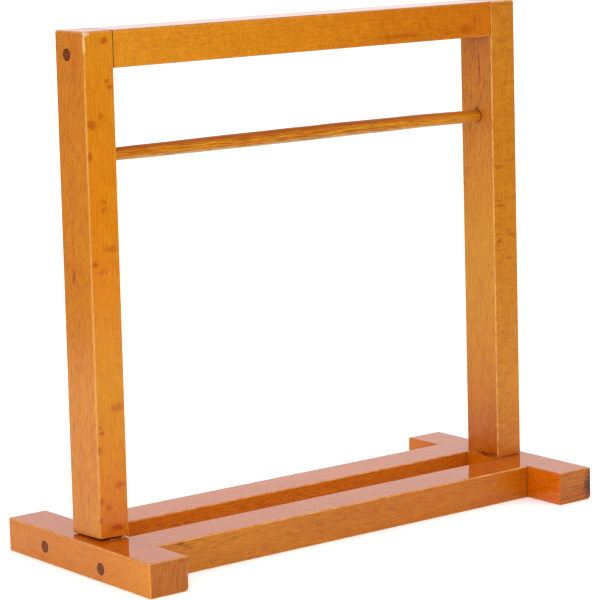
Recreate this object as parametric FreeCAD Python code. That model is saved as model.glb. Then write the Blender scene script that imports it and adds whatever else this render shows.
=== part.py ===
import FreeCAD, Part
import math
import os

# A small free-standing wooden frame: two sled feet joined by two stretchers, a post
# on each foot, a rail between the post tops and a round bar that turns in blind
# sockets in the posts.  Millimetres.  +X runs to the right along the rail, +Y to the
# back, +Z up.  The origin is on the table, in the middle of the base.

# Driving dimensions
OVERALL_WIDTH = 300.0
OVERALL_HEIGHT = 276.0
FOOT_LENGTH = 129.0
FOOT_WIDTH = 23.5
FOOT_HEIGHT = 18.0
STRETCHER_WIDTH = 25.5
SLOT_WIDTH = 25.6
POST_WIDTH = 17.4
POST_DEPTH = 25.5
RAIL_HEIGHT = 19.0
RAIL_LENGTH = 251.4
BAR_HEIGHT = 212.1
BAR_DIAMETER = 7.9
BAR_END_DIAMETER = 6.7

# The rail is a little shorter than the stretchers, so the post tops lean in by this much
LEFT_LEAN = 0.6
RIGHT_LEAN = 1.8

# Joinery
PIN_DIAMETER = 6.4
PIN_GRIP = 22.0
PIN_TIP_CHAMFER = 0.6
PIN_PROUD = 1.0
REAR_PIN_Y = 30.0
REAR_PIN_Z = 8.7
FRONT_PIN_Y = -21.3
FRONT_PIN_Z = 7.0
RAIL_PIN_Y = 2.6
RAIL_PIN_BELOW_TOP = 11.9
SOCKET_DEPTH = 9.0
SOCKET_CLEARANCE = 0.08
SOCKET_MOUTH_CHAMFER = 0.35
DRILL_START = 0.5
BAR_END_FLOAT = 0.5
BAR_END_CHAMFER = 0.6

# Worn and eased edges
EASED = 0.8
EASED_INSIDE = 0.4
EASED_TOP = 1.0
WORN_UNDER = 2.4
SAWN_END_EASED = 0.4
SAW_ERROR_FRONT = 0.9
SAW_ERROR_SIDE = 0.7

# Places that follow from the sizes above
HALF_WIDTH = OVERALL_WIDTH / 2
FOOT_INNER_X = HALF_WIDTH - FOOT_WIDTH
FOOT_END_Y = FOOT_LENGTH / 2
STRETCHER_OUTER_Y = SLOT_WIDTH / 2 + STRETCHER_WIDTH
POST_HEIGHT = OVERALL_HEIGHT - FOOT_HEIGHT
RAIL_PIN_Z = OVERALL_HEIGHT - RAIL_PIN_BELOW_TOP

LEFT = -1
RIGHT = 1
SIDES = {"left": LEFT, "right": RIGHT}
LEAN = {LEFT: LEFT_LEAN, RIGHT: RIGHT_LEAN}
FOOT_PINS = {"front": (FRONT_PIN_Y, FRONT_PIN_Z), "rear": (REAR_PIN_Y, REAR_PIN_Z)}
ALONG_X = FreeCAD.Vector(1, 0, 0)
UP = FreeCAD.Vector(0, 0, 1)
NEAR = 1e-6


def box_between(low, high):
    """A box from its lowest corner to its highest corner."""
    size = [b - a for a, b in zip(low, high)]
    return Part.makeBox(*size, FreeCAD.Vector(*low))


def board(x_range, y_range, z_range):
    """A planed board; each range may be given in either order."""
    ranges = [sorted(r) for r in (x_range, y_range, z_range)]
    return box_between([r[0] for r in ranges], [r[1] for r in ranges])


def edges_where(shape, test):
    """The edges whose two ends both pass the test."""
    return [e for e in shape.Edges if all(test(v.Point) for v in e.Vertexes)]


def ease(shape, radius, test):
    """Rounds every edge that lies where the test holds."""
    return shape.makeFillet(radius, edges_where(shape, test))


def at(value, place):
    return abs(value - place) < NEAR


def post_inner_x(side, z):
    """Where the inner face of a leaning post is at a height."""
    still_to_lean = LEAN[side] * (OVERALL_HEIGHT - z) / POST_HEIGHT
    return side * (RAIL_LENGTH / 2 + still_to_lean)


def quarter_round(corner, inward, y_range, radius):
    """What sanding takes off an edge along Y; inward points from the corner into the wood."""
    x, z = corner
    centre_x = x + inward[0] * radius
    centre_z = z + inward[1] * radius
    y_low, y_high = sorted(y_range)
    waste = board((x - inward[0], centre_x), (y_low, y_high), (z - inward[1], centre_z))
    start = FreeCAD.Vector(centre_x, y_low, centre_z)
    kept = Part.makeCylinder(radius, y_high - y_low, start, FreeCAD.Vector(0, 1, 0))
    return waste.cut(kept)


def pin(start, direction, length):
    """A dowel pin cut flush at its start, with a chamfered leading tip."""
    radius = PIN_DIAMETER / 2
    tip = FreeCAD.Vector(start) + direction * (length - PIN_TIP_CHAMFER)
    shank = Part.makeCylinder(radius, length - PIN_TIP_CHAMFER, start, direction)
    point = Part.makeCone(radius, radius - PIN_TIP_CHAMFER, PIN_TIP_CHAMFER, tip, direction)
    return shank.fuse(point).removeSplitter()


def rail_pin(side):
    """Through a post and into the end of the rail, planed flush with the leaning post."""
    outer = post_inner_x(side, RAIL_PIN_Z) + side * (POST_WIDTH + PIN_PROUD)
    start = FreeCAD.Vector(outer, RAIL_PIN_Y, RAIL_PIN_Z)
    whole = pin(start, ALONG_X * -side, PIN_PROUD + POST_WIDTH + PIN_GRIP)
    return whole.cut(leaning_board(side, POST_WIDTH, 2 * POST_WIDTH))


def foot_pin(side, place):
    """Through a foot and into the end of a stretcher."""
    start = FreeCAD.Vector(side * HALF_WIDTH, *FOOT_PINS[place])
    return pin(start, ALONG_X * -side, FOOT_WIDTH + PIN_GRIP)


def post_pin(side):
    """Up through a foot and into the end of its post."""
    start = FreeCAD.Vector(post_inner_x(side, FOOT_HEIGHT) + side * POST_WIDTH / 2, 0, 0)
    return pin(start, UP, FOOT_HEIGHT + PIN_GRIP)


def foot(side):
    """A sled foot: eased all round, but left square where the stretchers butt on it."""
    inner = side * FOOT_INNER_X
    outer = side * HALF_WIDTH
    shape = board((inner, outer), (-FOOT_END_Y, FOOT_END_Y), (0, FOOT_HEIGHT))
    inner_under, outer_under = (EASED_TOP, WORN_UNDER) if side == RIGHT else (WORN_UNDER, EASED_TOP)
    shape = ease(shape, outer_under, lambda p: at(p.x, outer) and at(p.z, 0))
    shape = ease(shape, EASED, lambda p: at(p.x, outer) and at(p.z, FOOT_HEIGHT))
    for end in (-FOOT_END_Y, FOOT_END_Y):
        free = (math.copysign(STRETCHER_OUTER_Y, end), end * 2)
        shape = shape.cut(quarter_round((inner, FOOT_HEIGHT), (side, -1), free, EASED))
        shape = shape.cut(quarter_round((inner, 0), (side, 1), free, inner_under))
        shape = ease(shape, EASED, lambda p: at(p.y, end))
    for place in FOOT_PINS:
        shape = shape.cut(foot_pin(side, place))
    return shape.cut(post_pin(side))


def stretcher(place):
    """One of the two long base rails, flush with the feet above and below."""
    slot_side, outer_side = SLOT_WIDTH / 2, STRETCHER_OUTER_Y
    front, back = (-outer_side, -slot_side) if place == "front" else (slot_side, outer_side)
    shape = board((-FOOT_INNER_X, FOOT_INNER_X), (front, back), (0, FOOT_HEIGHT))
    shape = ease(shape, EASED, lambda p: at(p.z, FOOT_HEIGHT) and at(p.y, front))
    shape = ease(shape, EASED, lambda p: at(p.z, FOOT_HEIGHT) and at(p.y, back))
    shape = ease(shape, EASED_TOP, lambda p: at(p.z, 0) and at(p.y, front))
    shape = ease(shape, EASED_TOP, lambda p: at(p.z, 0) and at(p.y, back))
    for side in SIDES.values():
        shape = shape.cut(foot_pin(side, place))
    return shape


def leaning_board(side, near_face, far_face):
    """A board set at the lean of a post; its faces are measured from the post's inner face."""
    spare = POST_WIDTH
    base = FreeCAD.Vector(post_inner_x(side, FOOT_HEIGHT), 0, FOOT_HEIGHT)
    x_range = (base.x + side * near_face, base.x + side * far_face)
    z_range = (FOOT_HEIGHT - spare, OVERALL_HEIGHT + spare)
    shape = board(x_range, (-POST_DEPTH / 2, POST_DEPTH / 2), z_range)
    lean = math.degrees(math.atan(LEAN[side] / POST_HEIGHT))
    shape.rotate(base, FreeCAD.Vector(0, 1, 0), -side * lean)
    return shape


def post_blank(side):
    """A square-edged upright, leaning in, with its ends sawn level."""
    y_range = (-POST_DEPTH / 2, POST_DEPTH / 2)
    level = board((0, side * OVERALL_WIDTH), y_range, (FOOT_HEIGHT, OVERALL_HEIGHT))
    return leaning_board(side, 0, POST_WIDTH).common(level)


def post(side):
    """An upright with its edges eased, drilled for its pins and for the bar."""
    shape = post_blank(side)
    if side == LEFT:
        shape = shape.cut(saw_error(post_inner_x(side, FOOT_HEIGHT)))
    shape = ease_post(shape, side)
    for waste in (rail_pin(side), post_pin(side), bar_socket(side)):
        shape = shape.cut(waste)
    return shape


def ease_post(shape, side):
    """Rounds a post's four long arrises, its sawn lower end, and its top clear of the rail."""
    middle = abs(post_inner_x(side, FOOT_HEIGHT)) + POST_WIDTH / 2
    clear_of_rail = abs(post_inner_x(side, OVERALL_HEIGHT)) + EASED_INSIDE / 2
    shape = shape.makeFillet(EASED, long_edges(shape, lambda p: abs(p.x) > middle))
    shape = shape.makeFillet(EASED_INSIDE, long_edges(shape, lambda p: abs(p.x) < middle))
    shape = ease(shape, SAWN_END_EASED, lambda p: p.z < FOOT_HEIGHT + POST_WIDTH)
    return ease(shape, EASED_TOP, lambda p: at(p.z, OVERALL_HEIGHT) and abs(p.x) > clear_of_rail)


def long_edges(shape, test):
    """The straight upright edges of a post that pass the test."""
    return [e for e in edges_where(shape, test) if e.Length > POST_HEIGHT / 2]


def saw_error(inner):
    """The left post is sawn out of square, so a gap opens under its outer front corner."""
    tilt_back = math.degrees(math.atan(SAW_ERROR_FRONT / POST_DEPTH))
    tilt_side = math.degrees(math.atan(SAW_ERROR_SIDE / POST_WIDTH))
    pivot = FreeCAD.Vector(inner, POST_DEPTH / 2, FOOT_HEIGHT)
    reach = 2 * POST_DEPTH
    waste = board((inner - reach, inner + reach), (-reach, reach), (FOOT_HEIGHT - reach, FOOT_HEIGHT))
    waste.rotate(pivot, ALONG_X, -tilt_back)
    waste.rotate(pivot, FreeCAD.Vector(0, 1, 0), tilt_side)
    return waste


def rail():
    """The top rail, its ends cut to the lean of the posts and its faces flush with theirs."""
    half = POST_DEPTH / 2
    under = OVERALL_HEIGHT - RAIL_HEIGHT
    shape = board((-FOOT_INNER_X, FOOT_INNER_X), (-half, half), (under, OVERALL_HEIGHT))
    shape = ease(shape, EASED, lambda p: at(p.z, under) and at(p.y, -half))
    shape = ease(shape, EASED, lambda p: at(p.z, under) and at(p.y, half))
    shape = ease(shape, EASED_TOP, lambda p: at(p.z, OVERALL_HEIGHT) and at(p.y, -half))
    shape = ease(shape, EASED_TOP, lambda p: at(p.z, OVERALL_HEIGHT) and at(p.y, half))
    for side in SIDES.values():
        shape = shape.cut(post_blank(side)).cut(rail_pin(side))
    return max(shape.Solids, key=lambda solid: solid.Volume)


def bar_socket(side):
    """The blind hole for one end of the bar, with a slightly broken mouth."""
    radius = BAR_END_DIAMETER / 2 + SOCKET_CLEARANCE
    outward = ALONG_X * side
    face = FreeCAD.Vector(post_inner_x(side, BAR_HEIGHT), 0, BAR_HEIGHT)
    start = face - outward * DRILL_START
    hole = Part.makeCylinder(radius, DRILL_START + SOCKET_DEPTH, start, outward)
    taper = DRILL_START + SOCKET_MOUTH_CHAMFER
    return hole.fuse(Part.makeCone(radius + taper, radius, taper, start, outward))


def cross_bar():
    """The turned bar: slightly barrelled between the posts, with plain ends in the sockets."""
    neck = BAR_END_DIAMETER / 2
    into_socket = SOCKET_DEPTH - BAR_END_FLOAT
    left, right = (post_inner_x(side, BAR_HEIGHT) for side in (LEFT, RIGHT))
    outline = bar_end(left, LEFT, neck, into_socket)
    middle = FreeCAD.Vector((left + right) / 2, 0, BAR_DIAMETER / 2)
    outline.append(Part.Arc(FreeCAD.Vector(left, 0, neck), middle, FreeCAD.Vector(right, 0, neck)))
    outline += reversed(bar_end(right, RIGHT, neck, into_socket))
    axis_ends = [FreeCAD.Vector(x, 0, 0) for x in (right + into_socket, left - into_socket)]
    outline.append(Part.LineSegment(*axis_ends))
    face = Part.Face(Part.Wire([segment.toShape() for segment in outline]))
    shape = face.revolve(FreeCAD.Vector(0, 0, 0), ALONG_X, 360)
    shape.translate(FreeCAD.Vector(0, 0, BAR_HEIGHT))
    return shape


def bar_end(face_x, side, radius, length):
    """The outline of one plain end, from the axis out to the post's face."""
    tip = face_x + side * length
    corners = [
        FreeCAD.Vector(tip, 0, 0),
        FreeCAD.Vector(tip, 0, radius - BAR_END_CHAMFER),
        FreeCAD.Vector(tip - side * BAR_END_CHAMFER, 0, radius),
        FreeCAD.Vector(face_x, 0, radius),
    ]
    return [Part.LineSegment(a, b) for a, b in zip(corners, corners[1:])]


def all_parts():
    """Every piece of the frame, by name."""
    parts = {
        "front_stretcher": stretcher("front"),
        "rear_stretcher": stretcher("rear"),
        "top_rail": rail(),
        "cross_bar": cross_bar(),
    }
    for name, side in SIDES.items():
        parts[f"{name}_foot"] = foot(side)
        parts[f"{name}_post"] = post(side)
        parts[f"{name}_rail_pin"] = rail_pin(side)
        parts[f"{name}_post_pin"] = post_pin(side)
        for place in FOOT_PINS:
            parts[f"{name}_foot_{place}_pin"] = foot_pin(side, place)
    return parts


os.makedirs("parts", exist_ok=True)
for part_name, part_shape in all_parts().items():
    state = "valid" if part_shape.isValid() else "INVALID"
    print(part_name, state, len(part_shape.Solids), "solid", round(part_shape.Volume, 1), "mm3")
    part_shape.exportStep(f"parts/{part_name}.step")
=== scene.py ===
import math
import random
from dataclasses import dataclass

import bmesh
import bpy
from mathutils import Matrix, Vector, noise


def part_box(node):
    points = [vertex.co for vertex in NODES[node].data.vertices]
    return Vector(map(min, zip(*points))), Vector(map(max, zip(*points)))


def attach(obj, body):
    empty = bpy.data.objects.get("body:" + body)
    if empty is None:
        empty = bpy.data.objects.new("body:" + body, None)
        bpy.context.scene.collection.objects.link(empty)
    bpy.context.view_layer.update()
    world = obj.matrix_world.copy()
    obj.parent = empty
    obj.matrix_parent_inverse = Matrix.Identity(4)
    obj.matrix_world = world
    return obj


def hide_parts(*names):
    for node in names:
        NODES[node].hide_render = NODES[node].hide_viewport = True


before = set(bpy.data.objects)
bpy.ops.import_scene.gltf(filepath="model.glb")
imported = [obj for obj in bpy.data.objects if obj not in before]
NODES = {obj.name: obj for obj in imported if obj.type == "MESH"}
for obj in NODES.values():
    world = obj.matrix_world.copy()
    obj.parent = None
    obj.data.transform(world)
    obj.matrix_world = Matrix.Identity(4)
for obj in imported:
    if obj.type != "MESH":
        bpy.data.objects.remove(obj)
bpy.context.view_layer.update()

MM = 0.001
X, Y, Z = 0, 1, 2
LACQUER_IOR = 1.33
WAX_IOR = 1.22

# ---------------------------------------------------------------------------
# Camera, floor and light
# ---------------------------------------------------------------------------
# Angles in degrees, the lens and its sensor in millimetres, places in metres
CAMERA_AZIMUTH = 37.94
CAMERA_ELEVATION = 9.66
CAMERA_ROLL = 1.37
CAMERA_LENS = 164.05
CAMERA_AIM = Vector((-0.0028, -0.0009, 0.1238))
CAMERA_DISTANCE = 1.4616
SENSOR = 36.0

PAPER_EDGE_LEFT = (0.62, 0.78)
PAPER_EDGE_RIGHT = (0.50, 1.05)
PAPER_WIDENING = 0.08
PAPER_WHITE = (0.95, 0.95, 0.95, 1)
PAPER_GLOW = 0.25
GREY_LEFT = (0.32, 0.32, 0.32, 1)
GREY_RIGHT = (0.03, 0.03, 0.03, 1)
FLOOR_REACH = 40.0

SKY_STRENGTH = 1.12
KEY_PLACE = (-0.75, -0.85, 0.75)
KEY_AIM = (0, 0, 0.14)
KEY_SIZE = 0.5
KEY_POWER = 1.6


def add_camera():
    """A long lens from the front left, a little above the frame."""
    data = bpy.data.cameras.new("camera")
    data.lens = CAMERA_LENS
    data.sensor_width = SENSOR
    data.clip_end = 100
    camera = bpy.data.objects.new("camera", data)
    bpy.context.scene.collection.objects.link(camera)
    turn = (
        Matrix.Rotation(-math.radians(CAMERA_AZIMUTH), 4, "Z")
        @ Matrix.Rotation(math.radians(90 - CAMERA_ELEVATION), 4, "X")
        @ Matrix.Rotation(-math.radians(CAMERA_ROLL), 4, "Z")
    )
    back = turn.to_3x3() @ Vector((0, 0, CAMERA_DISTANCE))
    camera.matrix_world = Matrix.Translation(CAMERA_AIM + back) @ turn
    bpy.context.scene.camera = camera


def add_key_light():
    """One softbox from the front left."""
    data = bpy.data.lights.new("key", "AREA")
    data.size = KEY_SIZE
    data.energy = KEY_POWER
    lamp = bpy.data.objects.new("key", data)
    lamp.location = KEY_PLACE
    lamp.rotation_euler = (Vector(KEY_AIM) - Vector(KEY_PLACE)).to_track_quat("-Z", "Y").to_euler()
    bpy.context.scene.collection.objects.link(lamp)


def add_world():
    """An even white room all round."""
    world = bpy.data.worlds.new("studio")
    world.use_nodes = True
    background = world.node_tree.nodes["Background"]
    background.inputs["Color"].default_value = (1, 1, 1, 1)
    background.inputs["Strength"].default_value = SKY_STRENGTH
    bpy.context.scene.world = world


def add_floor():
    """A white paper sweep that runs back behind the frame, on a grey floor."""
    mesh = bpy.data.meshes.new("floor")
    signs = [(-1, -1), (1, -1), (1, 1), (-1, 1)]
    mesh.from_pydata([(a * FLOOR_REACH, b * FLOOR_REACH, 0) for a, b in signs], [], [(0, 1, 2, 3)])
    floor = bpy.data.objects.new("floor", mesh)
    floor.rotation_euler.z = -math.radians(CAMERA_AZIMUTH)
    bpy.context.scene.collection.objects.link(floor)
    material, shader, g = new_material("floor_paper")
    across, along, _ = g.separate(g.node("ShaderNodeTexCoord").outputs["Object"])
    widening = g.math("MULTIPLY", g.math("MAXIMUM", along, 0.0), PAPER_WIDENING)
    offset = g.math("SUBTRACT", g.math("ABSOLUTE", across), widening)
    on_left = g.math("LESS_THAN", across, 0.0)
    beyond = g.mix(on_left, g.ramp(offset, *PAPER_EDGE_RIGHT), g.ramp(offset, *PAPER_EDGE_LEFT))
    grey = g.mix(on_left, GREY_RIGHT, GREY_LEFT)
    g.feed(shader.inputs["Base Color"], g.mix(beyond, PAPER_WHITE, grey))
    glow = g.math("MULTIPLY_ADD", beyond, -PAPER_GLOW, PAPER_GLOW)
    shader.inputs["Emission Color"].default_value = PAPER_WHITE
    g.feed(shader.inputs["Emission Strength"], glow)
    shader.inputs["Roughness"].default_value = 0.9
    shader.inputs["Specular IOR Level"].default_value = 0.1
    mesh.materials.append(material)


# ---------------------------------------------------------------------------
# Short calls for building shader graphs
# ---------------------------------------------------------------------------
class Graph:
    """Adds nodes to one node tree; every call returns an output socket."""

    def __init__(self, tree):
        self.tree = tree

    def node(self, kind, **settings):
        made = self.tree.nodes.new(kind)
        for name, value in settings.items():
            setattr(made, name, value)
        return made

    def feed(self, socket, value):
        if isinstance(value, bpy.types.NodeSocket):
            self.tree.links.new(value, socket)
        elif value is not None:
            if socket.type == "RGBA" and len(value) == 3:
                value = (*value, 1.0)
            socket.default_value = value

    def math(self, operation, a, b=None, c=None, clamp=False):
        made = self.node("ShaderNodeMath", operation=operation, use_clamp=clamp)
        for socket, value in zip(made.inputs, (a, b, c)):
            self.feed(socket, value)
        return made.outputs[0]

    def vector(self, operation, a, b=None, out=0):
        made = self.node("ShaderNodeVectorMath", operation=operation)
        self.feed(made.inputs[0], a)
        self.feed(made.inputs[1], b)
        return made.outputs[out]

    def combine(self, x, y, z):
        made = self.node("ShaderNodeCombineXYZ")
        for socket, value in zip(made.inputs, (x, y, z)):
            self.feed(socket, value)
        return made.outputs[0]

    def separate(self, vector):
        made = self.node("ShaderNodeSeparateXYZ")
        self.feed(made.inputs[0], vector)
        return made.outputs[0], made.outputs[1], made.outputs[2]

    def scaled(self, vector, cell):
        """The vector measured in cells of the given size."""
        return self.vector("MULTIPLY", vector, tuple(1 / c for c in cell))

    def noise(self, vector, cell, detail=2.0, roughness=0.5):
        """Smooth noise from 0 to 1 with features about one cell large."""
        made = self.node("ShaderNodeTexNoise")
        self.feed(made.inputs["Vector"], self.scaled(vector, cell))
        made.inputs["Scale"].default_value = 1.0
        made.inputs["Detail"].default_value = detail
        made.inputs["Roughness"].default_value = roughness
        return made.outputs[0]

    def lenses(self, vector, cell, radius, kept):
        """Soft lens shapes, one in each cell, of which the share kept is shown."""
        made = self.node("ShaderNodeTexVoronoi", feature="F1")
        self.feed(made.inputs["Vector"], self.scaled(vector, cell))
        made.inputs["Scale"].default_value = 1.0
        made.inputs["Randomness"].default_value = 1.0
        chance = self.separate(made.outputs["Color"])[0]
        shown = self.math("LESS_THAN", chance, kept)
        return self.math("MULTIPLY", self.ramp(made.outputs["Distance"], radius, radius * 0.35), shown)

    def ramp(self, value, start, end):
        """0 at start and 1 at end, with a smooth step between; start may be the larger."""
        made = self.node("ShaderNodeMapRange", interpolation_type="SMOOTHSTEP")
        self.feed(made.inputs["Value"], value)
        low, high = (start, end) if start < end else (end, start)
        made.inputs["From Min"].default_value = low
        made.inputs["From Max"].default_value = high
        made.inputs["To Min"].default_value = 0.0 if start < end else 1.0
        made.inputs["To Max"].default_value = 1.0 if start < end else 0.0
        return made.outputs["Result"]

    def mix(self, factor, a, b, blend="MIX"):
        made = self.node("ShaderNodeMix", data_type="RGBA", blend_type=blend)
        self.feed(made.inputs[0], factor)
        self.feed(made.inputs[6], a)
        self.feed(made.inputs[7], b)
        return made.outputs[2]

    def stops(self, value, colours, start, end):
        """A colour ramp over the range from start to end; colours are (place, colour) pairs."""
        made = self.node("ShaderNodeValToRGB")
        elements = made.color_ramp.elements
        elements.remove(elements[1])
        for index, (place, colour) in enumerate(colours):
            element = elements.new(0.5) if index else elements[0]
            element.position = (place - start) / (end - start)
            element.color = (*colour, 1.0)
        scaled = self.math("MULTIPLY_ADD", value, 1 / (end - start), -start / (end - start))
        self.feed(made.inputs[0], scaled)
        return made.outputs[0]

    def weighted(self, terms, start=0.0):
        """The start value plus each output times its weight."""
        total = start
        for output, weight in terms:
            total = self.math("MULTIPLY_ADD", output, weight, total)
        return total

    def place(self):
        """The point being shaded, in the frame's own coordinates, in millimetres."""
        coords = self.node("ShaderNodeTexCoord")
        return self.vector("MULTIPLY", coords.outputs["Object"], (1 / MM,) * 3)

    def normal(self):
        """The three parts of the surface's normal in the frame's own coordinates."""
        return self.separate(self.node("ShaderNodeTexCoord").outputs["Normal"])

    def bump(self, shader, height):
        """Relief on a shader; the height is in millimetres."""
        made = self.node("ShaderNodeBump")
        made.inputs["Distance"].default_value = MM
        self.feed(made.inputs["Height"], height)
        self.feed(shader.inputs["Normal"], made.outputs[0])


def new_material(name):
    """A new material with its shader and the graph that feeds it."""
    material = bpy.data.materials.new(name)
    material.use_nodes = True
    return material, material.node_tree.nodes["Principled BSDF"], Graph(material.node_tree)


# ---------------------------------------------------------------------------
# Beech, cut from a solid log
# ---------------------------------------------------------------------------
# Inside a board, x is the radial direction of the log, y the tangential one and z runs
# along the grain, all in millimetres.
RING_WIDTH = 2.6
FIGURE_OUTPUTS = ("Tone", "Rings", "Fibre", "Dashes", "Pores", "Spots", "Ripple", "Mottle", "Rays")
# Painted shade: the colour that faces looking up take, darker and redder where less light falls from
# above
SHADED_TOP = (0.46, 0.093, 0.003)
END_GRAIN = (0.37, 0.097, 0.005)
# Lighter colour of the edges: part real wear of the lacquer, part painted highlight along the arrises
WORN_AND_HIGHLIT = (0.80, 0.42, 0.12)
SEAM_DARK = (0.10, 0.02, 0.001)
MEAN_DARKNESS = 0.30
TONE_AND_RINGS = 0.30
DASH_COVER = 0.12
RAY_PALE = 1.22
RAY_DARK = 0.80


def make_figure_group():
    """The node group that gives each feature of beech at a point of the log."""
    tree = bpy.data.node_groups.new("beech_figure", "ShaderNodeTree")
    tree.interface.new_socket("Point", in_out="INPUT", socket_type="NodeSocketVector")
    tree.interface.new_socket("Pith", in_out="INPUT", socket_type="NodeSocketFloat")
    for name in FIGURE_OUTPUTS:
        tree.interface.new_socket(name, in_out="OUTPUT", socket_type="NodeSocketFloat")
    g = Graph(tree)
    inlet = g.node("NodeGroupInput")
    point, pith = inlet.outputs["Point"], inlet.outputs["Pith"]

    drift = g.noise(point, (30, 30, 90), detail=1)
    shift = g.math("MULTIPLY_ADD", drift, 6.0, -3.0)
    wavy = g.vector("ADD", point, g.combine(shift, shift, 0.0))
    stir = g.noise(point, (5, 5, 5), detail=2)
    stirred = g.vector("ADD", wavy, g.combine(0.0, 0.0, g.math("MULTIPLY", stir, 7.0)))

    radial, tangential, _ = g.separate(wavy)
    from_pith = g.combine(g.math("ADD", radial, pith), tangential, 0.0)
    radius = g.vector("LENGTH", from_pith, out=1)
    uneven = g.noise(wavy, (9, 9, 160), detail=1)
    year = g.math("MULTIPLY_ADD", radius, 1 / RING_WIDTH, uneven)
    late_wood = g.math("POWER", g.math("FRACT", year), 3.0)

    out = g.node("NodeGroupOutput")
    g.feed(out.inputs["Tone"], g.noise(wavy, (11, 11, 70), detail=3))
    g.feed(out.inputs["Rings"], late_wood)
    g.feed(out.inputs["Fibre"], g.noise(wavy, (0.6, 0.6, 7.0), detail=2, roughness=0.7))
    g.feed(out.inputs["Dashes"], g.lenses(wavy, (6.0, 0.62, 5.0), 0.42, 0.6))
    g.feed(out.inputs["Pores"], g.lenses(wavy, (3.0, 0.8, 10.0), 0.36, 0.2))
    g.feed(out.inputs["Spots"], g.lenses(stirred, (9.0, 7.0, 12.0), 0.16, 0.4))
    g.feed(out.inputs["Ripple"], g.noise(stirred, (9.0, 9.0, 2.2), detail=3, roughness=0.72))
    g.feed(out.inputs["Mottle"], g.noise(stirred, (1.5, 1.1, 1.1), detail=3, roughness=0.75))
    g.feed(out.inputs["Rays"], g.noise(point, (14.0, 0.5, 0.5), detail=2))
    return tree


@dataclass
class Board:
    """How one piece was cut from the log, its colour along its length, how it has aged and how strong
    the painted highlight along its edges is.

    quarter and flat are the colours of its quarter-sawn and flat-sawn faces, as (place, colour)
    stops along the board in millimetres.
    """

    node: str
    along: int
    radial: int
    quarter: list
    flat: list
    seed: int
    butted: bool = False
    pith: float = 70.0
    dashes: float = 0.3
    spots: float = 0.3
    ripple: float = 0.3
    mottle: float = 0.35
    edge_wear_and_highlight: float = 0.45
    satin: float = 0.12
    seam: float = 0.75
    slant: float = 0.0
    outside: int = 0
    lean: float = 0.0
    marks: tuple = ()

    @property
    def tangential(self):
        return 3 - self.along - self.radial


@dataclass
class Mark:
    """A soft ragged patch on a surface, in millimetres: a fleck, a stain, a place of wear with a
    painted highlight, or a patch of painted shade.
    """

    at: tuple
    size: tuple
    colour: tuple
    strength: float = 1.0
    paint: bool = False
    ragged: float = 2.2


def level_colour(level):
    """What a level above or below 1 does to each channel: darker wood is also redder."""
    return (level ** 0.8, level ** 1.35, level ** 1.6)


def arris_distance(g, place, low, high, board):
    """Distance to the nearest long edge, in millimetres, and to the nearer end.

    A board with an outside is measured from that side only, not from the side others butt on.
    A leaning board is measured square to its own faces; its lean is the shift of its top to -X.
    """
    axes = list(g.separate(place))
    low, high = list(low), list(high)
    if board.lean:
        share = board.lean / (high[Z] - low[Z])
        axes[X] = g.math("ADD", axes[X], g.math("MULTIPLY_ADD", axes[Z], share, -share * low[Z]))
        low[X] += max(board.lean, 0.0)
        high[X] += min(board.lean, 0.0)
    near = []
    for axis, value in enumerate(axes):
        from_low = g.math("SUBTRACT", value, low[axis])
        to_high = g.math("SUBTRACT", high[axis], value)
        if axis == X and board.outside:
            near.append(from_low if board.outside < 0 else to_high)
        else:
            near.append(g.math("MINIMUM", from_low, to_high))
    side_a, side_b, end = near[board.radial], near[board.tangential], near[board.along]
    across = g.math("MAXIMUM", side_a, side_b)
    if board.butted:
        return across, end
    nearest_side = g.math("MINIMUM", side_a, side_b)
    return g.math("MINIMUM", across, g.math("MAXIMUM", nearest_side, end)), end


def mark_mask(g, place, ragged, mark):
    """1 inside a mark and 0 outside it, with an uneven edge."""
    offset = g.vector("SUBTRACT", place, mark.at)
    distance = g.vector("LENGTH", g.scaled(offset, mark.size), out=1)
    rim = 0.8 + 0.5 * mark.ragged
    inside = g.ramp(g.math("MULTIPLY_ADD", ragged, mark.ragged, distance), rim + 0.4, rim - 0.4)
    return g.math("MULTIPLY", inside, mark.strength)


def wood_darkness(g, board, parts, facing):
    """How dark the figure makes each point; MEAN_DARKNESS is the board's own colour.

    What the noise and the dashes add on average is taken off again.
    """
    flat_sawn = g.ramp(facing[board.radial], 0.3, 0.8)
    quarter_sawn = g.ramp(facing[board.tangential], 0.3, 0.8)
    on_flat = g.math("MULTIPLY_ADD", flat_sawn, 0.85, 0.15)
    dashes = g.math("MULTIPLY", parts["Dashes"], on_flat)
    pores = g.math("MULTIPLY", parts["Pores"], on_flat)
    spots = g.math("MULTIPLY", parts["Spots"], quarter_sawn)
    ripple = g.math("MULTIPLY", g.math("SUBTRACT", parts["Ripple"], 0.5), quarter_sawn)
    fibre = g.math("SUBTRACT", parts["Fibre"], 0.5)
    on_quarter = g.math("MULTIPLY_ADD", quarter_sawn, -0.4, 1.0)
    noise_mean = (TONE_AND_RINGS + board.mottle) / 2
    darkness = g.weighted(
        [
            (parts["Tone"], 0.24),
            (parts["Rings"], 0.08),
            (g.math("MULTIPLY", fibre, on_quarter), 1.35),
            (parts["Mottle"], board.mottle),
            (ripple, board.ripple),
            (dashes, board.dashes),
            (pores, board.dashes * 1.2),
            (spots, board.spots),
        ],
        start=MEAN_DARKNESS - noise_mean - board.dashes * DASH_COVER,
    )
    return darkness, flat_sawn


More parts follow.
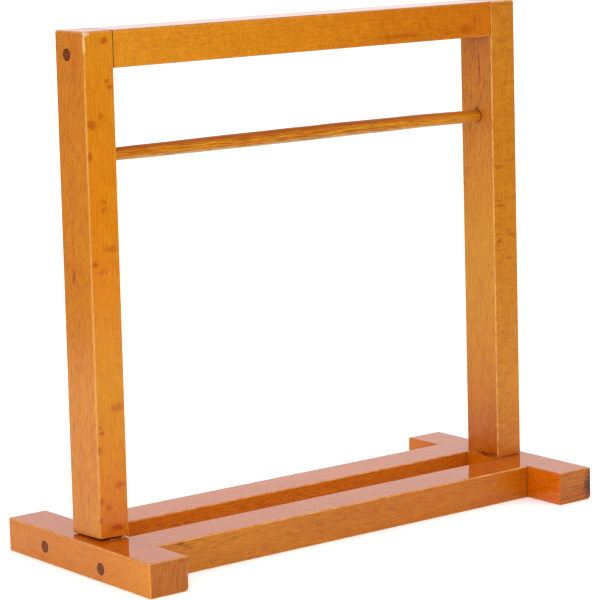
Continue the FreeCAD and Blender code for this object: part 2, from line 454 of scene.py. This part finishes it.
def beech_material(board, figure):
    """Stained and lacquered beech for one board, with painted shade on its tops and a painted
    highlight along its edges.
    """
    low, high = (tuple(v / MM for v in corner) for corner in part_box(board.node))
    material, shader, g = new_material("beech_" + board.node)
    place = g.place()
    axes = g.separate(place)
    rng = random.Random(board.seed)
    shift = [rng.uniform(-500, 500) for _ in range(3)]
    shift[board.radial] = rng.uniform(-3, 3)
    slanted = g.math("MULTIPLY_ADD", axes[board.radial], board.slant, axes[board.along])
    log = [
        g.math("ADD", axes[board.radial], shift[board.radial]),
        axes[board.tangential],
        g.math("ADD", slanted, shift[board.along]),
    ]
    cut = g.node("ShaderNodeGroup", node_tree=figure)
    g.feed(cut.inputs["Point"], g.combine(*log))
    g.feed(cut.inputs["Pith"], board.pith)
    parts = {name: cut.outputs[name] for name in FIGURE_OUTPUTS}

    normal = g.normal()
    facing = [g.math("ABSOLUTE", n) for n in normal]
    darkness, flat_sawn = wood_darkness(g, board, parts, facing)
    levels = [(0.0, 1.22), (MEAN_DARKNESS, 1.0), (0.6, 0.72), (1.0, 0.42)]
    grain = g.stops(darkness, [(d, level_colour(level)) for d, level in levels], 0.0, 1.0)

    ends = (low[board.along], high[board.along])
    quarter = g.stops(axes[board.along], board.quarter, *ends)
    flat = g.stops(axes[board.along], board.flat, *ends)
    tint = g.mix(flat_sawn, quarter, flat)
    # Faces that look up get a painted shade, darker and redder than their sides
    upward = g.ramp(normal[Z], 0.55, 0.9)
    tint = g.mix(upward, tint, SHADED_TOP)
    end_grain = g.ramp(facing[board.along], 0.6, 0.95)
    if board.along != Z:
        rays = g.ramp(parts["Rays"], 0.40, 0.62)
        dark, pale = ([c * level for c in END_GRAIN] for level in (RAY_DARK, RAY_PALE))
        end_tint = g.mix(rays, dark, pale)
        tint = g.mix(end_grain, tint, end_tint)
    colour = g.mix(1.0, grain, tint, blend="MULTIPLY")

    edge, end = arris_distance(g, place, low, high, board)
    patchy = g.noise(place, (4, 4, 4), detail=3)
    # Lighter edges: part real wear, part painted highlight along the arrises; the same mask also
    # roughens and lowers them
    on_edge = g.ramp(edge, 0.85, 0.2)
    wear_and_highlight = g.math("MULTIPLY", on_edge, g.math("MULTIPLY_ADD", g.ramp(patchy, 0.3, 0.7), 0.7, 0.3))
    colour = g.mix(g.math("MULTIPLY", wear_and_highlight, board.edge_wear_and_highlight), colour, WORN_AND_HIGHLIT)
    if board.butted:
        open_joint = g.ramp(g.math("MULTIPLY_ADD", patchy, 0.5, end), 0.75, 0.4)
        colour = g.mix(g.math("MULTIPLY", open_joint, board.seam), colour, SEAM_DARK)
    ragged = g.noise(place, (1.3, 1.3, 1.1), detail=3, roughness=0.65)
    for mark in board.marks:
        blend = "MIX" if mark.paint else "MULTIPLY"
        colour = g.mix(mark_mask(g, place, ragged, mark), colour, mark.colour, blend=blend)
    g.feed(shader.inputs["Base Color"], colour)

    streaks = g.noise(place, (14, 14, 14), detail=3)
    roughness = g.weighted(
        [
            (streaks, 0.05),
            (parts["Fibre"], 0.03),
            (wear_and_highlight, 0.25),
            (end_grain, 0.12),
            (g.math("SUBTRACT", 1.0, upward), board.satin),
        ],
        start=0.02,
    )
    g.feed(shader.inputs["Roughness"], roughness)
    shader.inputs["IOR"].default_value = LACQUER_IOR

    sag = g.noise(place, (18, 18, 18), detail=1)
    peel = g.noise(place, (2.4, 2.4, 2.4), detail=2)
    height = [
        (sag, 0.12),
        (peel, 0.008),
        (parts["Fibre"], -0.003),
        (parts["Dashes"], -0.004),
        (wear_and_highlight, -0.02),
    ]
    g.bump(shader, g.weighted(height))
    return material


def dress(node, material):
    """Puts one material over a whole CAD piece."""
    mesh_object = NODES[node]
    if not mesh_object.material_slots:
        mesh_object.data.materials.append(material)
    for slot in mesh_object.material_slots:
        slot.material = material


# ---------------------------------------------------------------------------
# The boards, with their flecks, places of wear and painted highlights, in millimetres
# ---------------------------------------------------------------------------
FLECK = (0.70, 0.42, 0.20)
DARK_FLECK = (0.72, 0.44, 0.25)
BROWN = (0.42, 0.22, 0.20)
RED = (1.0, 0.70, 0.6)
# Paler arris colour: part wear, part painted highlight
RUBBED_AND_HIGHLIT = (0.78, 0.42, 0.12)
POST_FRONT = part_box("left_post")[0][Y] / MM
STRETCHER_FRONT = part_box("front_stretcher")[0][Y] / MM
FOOT_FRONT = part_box("left_foot")[0][Y] / MM


def front_flecks(spots, colour, ragged=2.2):
    """Flecks on the front of a post: (x, z, half width, half height, strength) for each."""
    return [
        Mark((x, POST_FRONT, z), (w, 1.2, h), colour, power, ragged=ragged)
        for x, z, w, h, power in spots
    ]


def left_post_marks():
    upper = [
        (-131, 271, 2.5, 2.0, 0.9),
        (-130, 251, 2.0, 1.5, 0.8),
        (-128.5, 248, 2.0, 1.5, 0.8),
        (-134.5, 234, 2.0, 2.0, 0.6),
        (-140, 230, 3.0, 3.0, 0.8),
        (-142, 214, 2.0, 2.5, 0.8),
        (-134.5, 191, 2.5, 2.0, 0.6),
        (-134.5, 187, 2.5, 2.0, 0.6),
        (-131, 167, 4.5, 2.0, 0.6),
        (-141, 160, 2.0, 1.5, 0.9),
        (-136.5, 156, 3.0, 2.0, 0.6),
    ]
    lower = [
        (-131, 86, 5.0, 2.5, 0.7),
        (-140.5, 74, 2.0, 1.5, 0.9),
        (-141.5, 77, 1.5, 1.0, 0.7),
        (-142.5, 65, 1.5, 2.5, 0.9),
        (-130.5, 46, 4.0, 2.0, 0.8),
        (-142, 39, 1.5, 2.0, 0.8),
        (-138, 35, 2.5, 1.5, 0.8),
        (-143, 29, 1.5, 2.0, 0.9),
        (-133, 24, 4.5, 2.0, 1.0),
    ]
    return front_flecks(upper, FLECK) + front_flecks(lower, DARK_FLECK) + [
        Mark((-143.5, 3, 154), (4, 2, 12), RED, 0.5, ragged=1.0),
        Mark((-143.5, 3, 152), (4, 0.7, 3.5), (0.45, 0.22, 0.22), 0.9, ragged=0.7),
        Mark((-143, -6, 262), (4, 5, 16), RED, 0.35),
        # Down the front-outer arris: paler paint, part wear and part painted highlight, whitest near
        # the top
        Mark((-143, -12.5, 270), (1, 1, 6), (0.78, 0.52, 0.25), 0.7, paint=True),
        Mark((-142, -12.5, 275), (2.5, 1.3, 1.3), (0.78, 0.58, 0.40), 0.7, paint=True),
        Mark((-143.5, -12.5, 110), (0.9, 0.9, 90), RUBBED_AND_HIGHLIT, 0.35, paint=True),
        Mark((-143.5, -12.5, 225), (0.9, 0.9, 45), RUBBED_AND_HIGHLIT, 0.45, paint=True),
    ]


def right_post_marks():
    lines = [
        (130, 196, 2.5, 0.5, 0.7),
        (141, 187, 2.0, 0.5, 0.8),
        (131, 184, 3.0, 1.0, 0.5),
        (130, 165, 3.0, 0.5, 0.8),
        (132, 162, 5.0, 0.5, 0.9),
        (130, 146, 3.0, 0.5, 0.9),
        (138, 148, 2.5, 1.0, 0.5),
        (140, 145, 2.5, 1.0, 0.6),
        (130, 142, 2.5, 1.0, 0.6),
        (131, 137, 5.0, 0.5, 0.7),
        (138, 132, 3.0, 1.0, 0.6),
    ]
    return front_flecks(lines, DARK_FLECK, ragged=0.7) + [
        Mark((126, -2.5, 240), (1.2, 0.6, 10), (0.45, 0.24, 0.20), 0.95),
        # Painted shade: a dark crescent for the gap above the bar where it enters its socket
        Mark((126, -0.5, 216.5), (1.5, 2, 1), BROWN, 0.6),
        Mark((126, -5.5, 213), (1.5, 2, 4), (0.95, 0.72, 0.5), 0.7),
        Mark((127.5, -3, 19), (1.5, 9, 1.2), BROWN, 0.9),
        Mark((127.5, -9, 20.5), (1.5, 2.2, 0.5), BROWN, 0.9),
        Mark((127.5, 2, 21), (1.5, 1.6, 0.5), BROWN, 0.8),
        Mark((136.5, POST_FRONT, 18.5), (8, 1.2, 0.6), BROWN, 0.9),
        Mark((136, POST_FRONT, 274), (4, 1.2, 0.5), DARK_FLECK, 0.8),
    ]


# Colours along each board: (millimetres along it, colour)
LEFT_POST_FRONT = [
    (18, (0.55, 0.13, 0.002)),
    (45, (0.56, 0.16, 0.002)),
    (95, (0.57, 0.20, 0.002)),
    (145, (0.57, 0.17, 0.002)),
    (185, (0.56, 0.13, 0.002)),
    (240, (0.57, 0.16, 0.002)),
    (276, (0.59, 0.20, 0.008)),
]
RIGHT_POST_FRONT = [
    (18, (0.49, 0.13, 0.004)),
    (60, (0.50, 0.165, 0.004)),
    (170, (0.50, 0.185, 0.004)),
    (235, (0.50, 0.20, 0.01)),
    (276, (0.49, 0.16, 0.008)),
]
RIGHT_POST_SIDE = [
    (18, (0.47, 0.095, 0.003)),
    (60, (0.54, 0.17, 0.005)),
    (115, (0.55, 0.215, 0.01)),
    (165, (0.54, 0.18, 0.01)),
    (205, (0.48, 0.13, 0.01)),
    (276, (0.50, 0.155, 0.025)),
]
POST_SIDE = [(18, (0.55, 0.17, 0.004)), (276, (0.55, 0.165, 0.005))]
RAIL_FRONT = [(-125, (0.61, 0.22, 0.01)), (0, (0.58, 0.185, 0.005)), (125, (0.51, 0.13, 0.002))]
STRETCHER = [(-126, (0.45, 0.14, 0.002)), (0, (0.43, 0.12, 0.002)), (126, (0.43, 0.10, 0.001))]
SLOT_SIDE = [(-126, (0.51, 0.115, 0.005)), (126, (0.51, 0.115, 0.005))]
LEFT_FOOT = [(-64, (0.58, 0.18, 0.001)), (-20, (0.53, 0.145, 0.001)), (64, (0.52, 0.145, 0.002))]
RIGHT_FOOT = [(-64, (0.56, 0.105, 0.001)), (64, (0.54, 0.13, 0.001))]


def boards():
    """Every flat-sided piece of the frame."""
    return [
        Board(
            "left_post", Z, X, LEFT_POST_FRONT, POST_SIDE, 11,
            dashes=0.42, spots=0.1, ripple=0.30, mottle=0.5, slant=0.9, satin=0.10, lean=-0.56,
            marks=left_post_marks(),
        ),
        Board(
            "right_post", Z, X, RIGHT_POST_FRONT, RIGHT_POST_SIDE, 12,
            dashes=0.5, spots=0.15, ripple=0.9, mottle=0.6, edge_wear_and_highlight=0.9, pith=80, satin=0.18, lean=1.68,
            marks=right_post_marks(),
        ),
        Board(
            "top_rail", X, Z, RAIL_FRONT, STRETCHER, 13,
            butted=True, dashes=0.12, spots=0.15, ripple=0.65, mottle=0.85, edge_wear_and_highlight=0.25, seam=0.95,
            marks=[
                Mark((114, POST_FRONT, 268), (0.7, 1.2, 5), DARK_FLECK, 0.8),
                Mark((108.0, POST_FRONT, 262.0), (6.0, 1.2, 2.5), FLECK, 0.6),
                Mark((60.0, POST_FRONT, 261.0), (16.0, 1.2, 1.6), FLECK, 0.6),
            ],
        ),
        Board(
            "front_stretcher", X, Y, STRETCHER, STRETCHER, 14,
            butted=True, dashes=0.20, spots=0.1, mottle=0.5, satin=0.24, edge_wear_and_highlight=0.85,
            marks=[
                Mark((-112, STRETCHER_FRONT, 16.5), (3.5, 1.2, 0.8), BROWN, 0.8),
                Mark((-109, STRETCHER_FRONT, 15), (2.5, 1.2, 1), BROWN, 0.6),
                Mark((-106, STRETCHER_FRONT, 13.5), (2, 1.2, 1), BROWN, 0.5),
                Mark((-78, STRETCHER_FRONT, 14), (3, 1.2, 0.7), DARK_FLECK, 0.5),
            ],
        ),
        Board(
            "rear_stretcher", X, Y, SLOT_SIDE, SLOT_SIDE, 15,
            butted=True, dashes=1.1, mottle=1.2, satin=0.2, edge_wear_and_highlight=0.85,
            marks=[Mark((0.0, 12.75, 1.5), (130.0, 1.5, 2.0), (0.55, 0.40, 0.3), 0.8)],
        ),
        Board(
            "left_foot", Y, Z, LEFT_FOOT, LEFT_FOOT, 16,
            dashes=0.3, spots=0.15, mottle=0.8, edge_wear_and_highlight=0.6, outside=-1,
            marks=[Mark((-131, FOOT_FRONT, 16.5), (2, 1.5, 0.7), BROWN, 0.6)],
        ),
        Board(
            "right_foot", Y, X, RIGHT_FOOT, RIGHT_FOOT, 17,
            dashes=0.3, spots=0.15, mottle=0.9, outside=1,
            marks=[
                Mark((149, FOOT_FRONT, 8), (5, 3, 8.5), (0.24, 0.13, 0.6), 0.95),
                Mark((139, FOOT_FRONT, 9.5), (10, 2, 0.7), (0.80, 0.68, 0.7), 0.6),
                Mark((140, FOOT_FRONT, 4.5), (11, 2, 4.5), (0.84, 0.72, 0.8), 0.7),
            ],
        ),
    ]


# ---------------------------------------------------------------------------
# Pins, bar and glue
# ---------------------------------------------------------------------------
PIN_PALE = (0.19, 0.042, 0.002)
PIN_DARK = (0.12, 0.021, 0.001)
PIN_GLUE_RING = (0.07, 0.012, 0.001)


def pin_material(node):
    """The end of a dowel pin: brown end grain in a dark ring of glue."""
    low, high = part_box(node)
    middle = tuple((a + b) / 2 / MM for a, b in zip(low, high))
    upright = high[Z] - low[Z] > high[X] - low[X]
    material, shader, g = new_material("dowel_" + node)
    place = g.place()
    flatten = (1, 1, 0) if upright else (0, 1, 1)
    from_axis = g.vector("MULTIPLY", g.vector("SUBTRACT", place, middle), flatten)
    radius = g.vector("LENGTH", from_axis, out=1)
    speck = g.noise(place, (0.6, 0.6, 0.6), detail=3)
    colour = g.mix(g.ramp(speck, 0.35, 0.65), PIN_DARK, PIN_PALE)
    ring = g.ramp(g.math("MULTIPLY_ADD", speck, 0.8, radius), 2.7, 3.3)
    colour = g.mix(ring, colour, PIN_GLUE_RING)
    g.feed(shader.inputs["Base Color"], colour)
    g.feed(shader.inputs["Roughness"], g.weighted([(speck, 0.2)], start=0.2))
    shader.inputs["IOR"].default_value = WAX_IOR
    g.bump(shader, g.math("MULTIPLY", speck, 0.05))
    return material


# The bar in millimetres; the two bow values are how fast it rises from either end
BAR_RING_STEP = 2.5
BAR_SIDES = 28
BAR_END_RADIUS = 3.30
BAR_SWELL = 0.60
BAR_END_LENGTH = 8.5
BAR_TIP_INSET = 0.02
BAR_TIP_LENGTH = 0.6
BAR_TIP_ROUNDING = 0.5
SHAVED = 0.16
SHAVING_LENGTH = 26.0
SHAVING_TURN = 1.6
BOWED = 0.5
BOW_LEFT = 6.0
BOW_RIGHT = 1.4


def bar_stations(start, end):
    """Where the bar's rings stand: one at each rounded tip and even steps between."""
    first, last = start + BAR_TIP_LENGTH, end - BAR_TIP_LENGTH
    count = int((end - start) / BAR_RING_STEP)
    steps = [first + (last - first) * i / count for i in range(count + 1)]
    return [start + BAR_TIP_INSET, *steps, end - BAR_TIP_INSET]


def bar_mesh():
    """The cross bar as a spokeshave left it: barrelled, bowed up a little, with shallow flats."""
    low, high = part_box("cross_bar")
    start, end = low[X] / MM, high[X] / MM
    centre_y = (low[Y] + high[Y]) / 2
    centre_z = (low[Z] + high[Z]) / 2
    clear_start, clear_end = start + BAR_END_LENGTH, end - BAR_END_LENGTH
    stations = bar_stations(start, end)
    mesh = bmesh.new()
    rings = []
    for x in stations:
        along = 2 * (x - clear_start) / (clear_end - clear_start) - 1
        swell = max(0.0, 1 - along * along)
        rise = min(1.0, (BOW_LEFT if along < 0 else BOW_RIGHT) * swell)
        rise = rise * rise * (3 - 2 * rise)
        rounding = BAR_TIP_ROUNDING if x in (stations[0], stations[-1]) else 0.0
        ring = []
        for side in range(BAR_SIDES):
            angle = 2 * math.pi * side / BAR_SIDES
            around = (SHAVING_TURN * math.cos(angle), SHAVING_TURN * math.sin(angle))
            flat = SHAVED * noise.noise(Vector((x / SHAVING_LENGTH, *around)))
            radius = BAR_END_RADIUS + BAR_SWELL * swell + flat * min(1.0, 6 * swell) - rounding
            y = centre_y + radius * MM * math.cos(angle)
            z = centre_z + (BOWED * rise + radius * math.sin(angle)) * MM
            ring.append(mesh.verts.new((x * MM, y, z)))
        rings.append(ring)
    for near, far in zip(rings, rings[1:]):
        for side in range(BAR_SIDES):
            following = (side + 1) % BAR_SIDES
            mesh.faces.new((near[side], near[following], far[following], far[side]))
    mesh.faces.new(rings[0][::-1])
    mesh.faces.new(rings[-1])
    bmesh.ops.recalc_face_normals(mesh, faces=mesh.faces)
    return finish_mesh(mesh, "shaved_bar")


def finish_mesh(mesh, name):
    """Turns the built mesh into an object, smooth but for its flat end discs."""
    data = bpy.data.meshes.new(name)
    mesh.to_mesh(data)
    mesh.free()
    for face in data.polygons:
        face.use_smooth = len(face.vertices) < BAR_SIDES
    made = bpy.data.objects.new(name, data)
    bpy.context.scene.collection.objects.link(made)
    return made


BAR_ORANGE = (0.50, 0.125, 0.001)
BAR_GOLD = (0.66, 0.275, 0.008)
# Painted shade along the bar's top and painted light along its underside
BAR_SHADED_TOP = (0.40, 0.072, 0.001)
BAR_LIT_UNDERSIDE = (0.56, 0.40, 0.18)
BAR_STREAK = (0.24, 0.066, 0.001)
BAR_RIGHT = (0.58, 0.190, 0.010)
# Painted shade for the bar where it goes into the sockets
BAR_SOCKET_SHADE = (0.10, 0.020, 0.001)


def bar_material():
    """Streaky shaved dowel, with painted shade making it brown along the top and painted light making
    it pale underneath.
    """
    material, shader, g = new_material("bar_wood")
    place = g.place()
    x = g.separate(place)[X]
    up = g.normal()[Z]
    streak = g.noise(place, (34, 1.0, 1.0), detail=4, roughness=0.6)
    fine = g.noise(place, (9, 0.4, 0.4), detail=2)
    band = g.math("MULTIPLY_ADD", g.math("SUBTRACT", streak, 0.5), 1.1, up)
    colour = g.mix(g.ramp(streak, 0.38, 0.62), BAR_ORANGE, BAR_GOLD)
    # Painted shade along the top and painted light along the underside, set by which way the surface
    # faces
    colour = g.mix(g.math("MULTIPLY", g.ramp(band, 0.25, 0.85), 0.85), colour, BAR_SHADED_TOP)
    colour = g.mix(g.math("MULTIPLY", g.ramp(band, -0.40, -0.85), 0.8), colour, BAR_LIT_UNDERSIDE)
    colour = g.mix(g.math("MULTIPLY", g.ramp(fine, 0.48, 0.62), 0.75), colour, BAR_STREAK)
    toward_right = g.ramp(x, 40.0, 118.0)
    colour = g.mix(g.math("MULTIPLY", toward_right, 0.55), colour, BAR_RIGHT)
    # Painted shade on the bar ends where they go into the posts
    socket = g.ramp(g.math("ABSOLUTE", x), 125.4, 126.6)
    colour = g.mix(g.math("MULTIPLY", socket, 0.8), colour, BAR_SOCKET_SHADE)
    g.feed(shader.inputs["Base Color"], colour)
    g.feed(shader.inputs["Roughness"], g.weighted([(streak, 0.2)], start=0.25))
    shader.inputs["IOR"].default_value = WAX_IOR
    g.bump(shader, g.weighted([(streak, 0.12), (fine, 0.05)]))
    return material


GLUE_SEED = 5
GLUE_SPECKS = 9
GLUE_SPREAD = (-137.5, -127.5)
GLUE_SIZE = (0.2, 0.4)
GLUE_STRETCH = (1.0, 1.8)
GLUE_FLATTENED = 0.8
GLUE_Y = -12.4
GLUE_Z = 18.25
GLUE_DEEP = (0.66, 0.27, 0.03)
GLUE_PALE = (0.82, 0.44, 0.12)


def glue_specks():
    """Dried squeeze-out along the open joint under the left post."""
    rng = random.Random(GLUE_SEED)
    mesh = bmesh.new()
    for _ in range(GLUE_SPECKS):
        size = rng.uniform(*GLUE_SIZE) * MM
        x = rng.uniform(*GLUE_SPREAD)
        squash = Matrix.Diagonal((size * rng.uniform(*GLUE_STRETCH), size, size * GLUE_FLATTENED, 1))
        place = Matrix.Translation((x * MM, GLUE_Y * MM, GLUE_Z * MM)) @ squash
        bmesh.ops.create_icosphere(mesh, subdivisions=2, radius=1.0, matrix=place)
    return finish_mesh(mesh, "glue_specks")


def glue_material():
    """Cloudy golden glue."""
    material, shader, g = new_material("dried_glue")
    cloudy = g.noise(g.place(), (0.4, 0.4, 0.4), detail=2)
    g.feed(shader.inputs["Base Color"], g.mix(cloudy, GLUE_DEEP, GLUE_PALE))
    g.feed(shader.inputs["Roughness"], g.weighted([(cloudy, 0.3)], start=0.3))
    shader.inputs["IOR"].default_value = WAX_IOR
    return material


def main():
    """Dresses the CAD pieces, adds the bar and the glue, and sets the stage."""
    figure = make_figure_group()
    for board in boards():
        dress(board.node, beech_material(board, figure))
    for name in NODES:
        if name.endswith("_pin"):
            dress(name, pin_material(name))

    bar = bar_mesh()
    bar.data.materials.append(bar_material())
    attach(bar, "bar")
    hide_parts("cross_bar")
    glue = glue_specks()
    glue.data.materials.append(glue_material())
    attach(glue, "frame")

    add_floor()
    add_world()
    add_key_light()
    add_camera()
    bpy.context.scene.view_settings.view_transform = "Standard"


main()
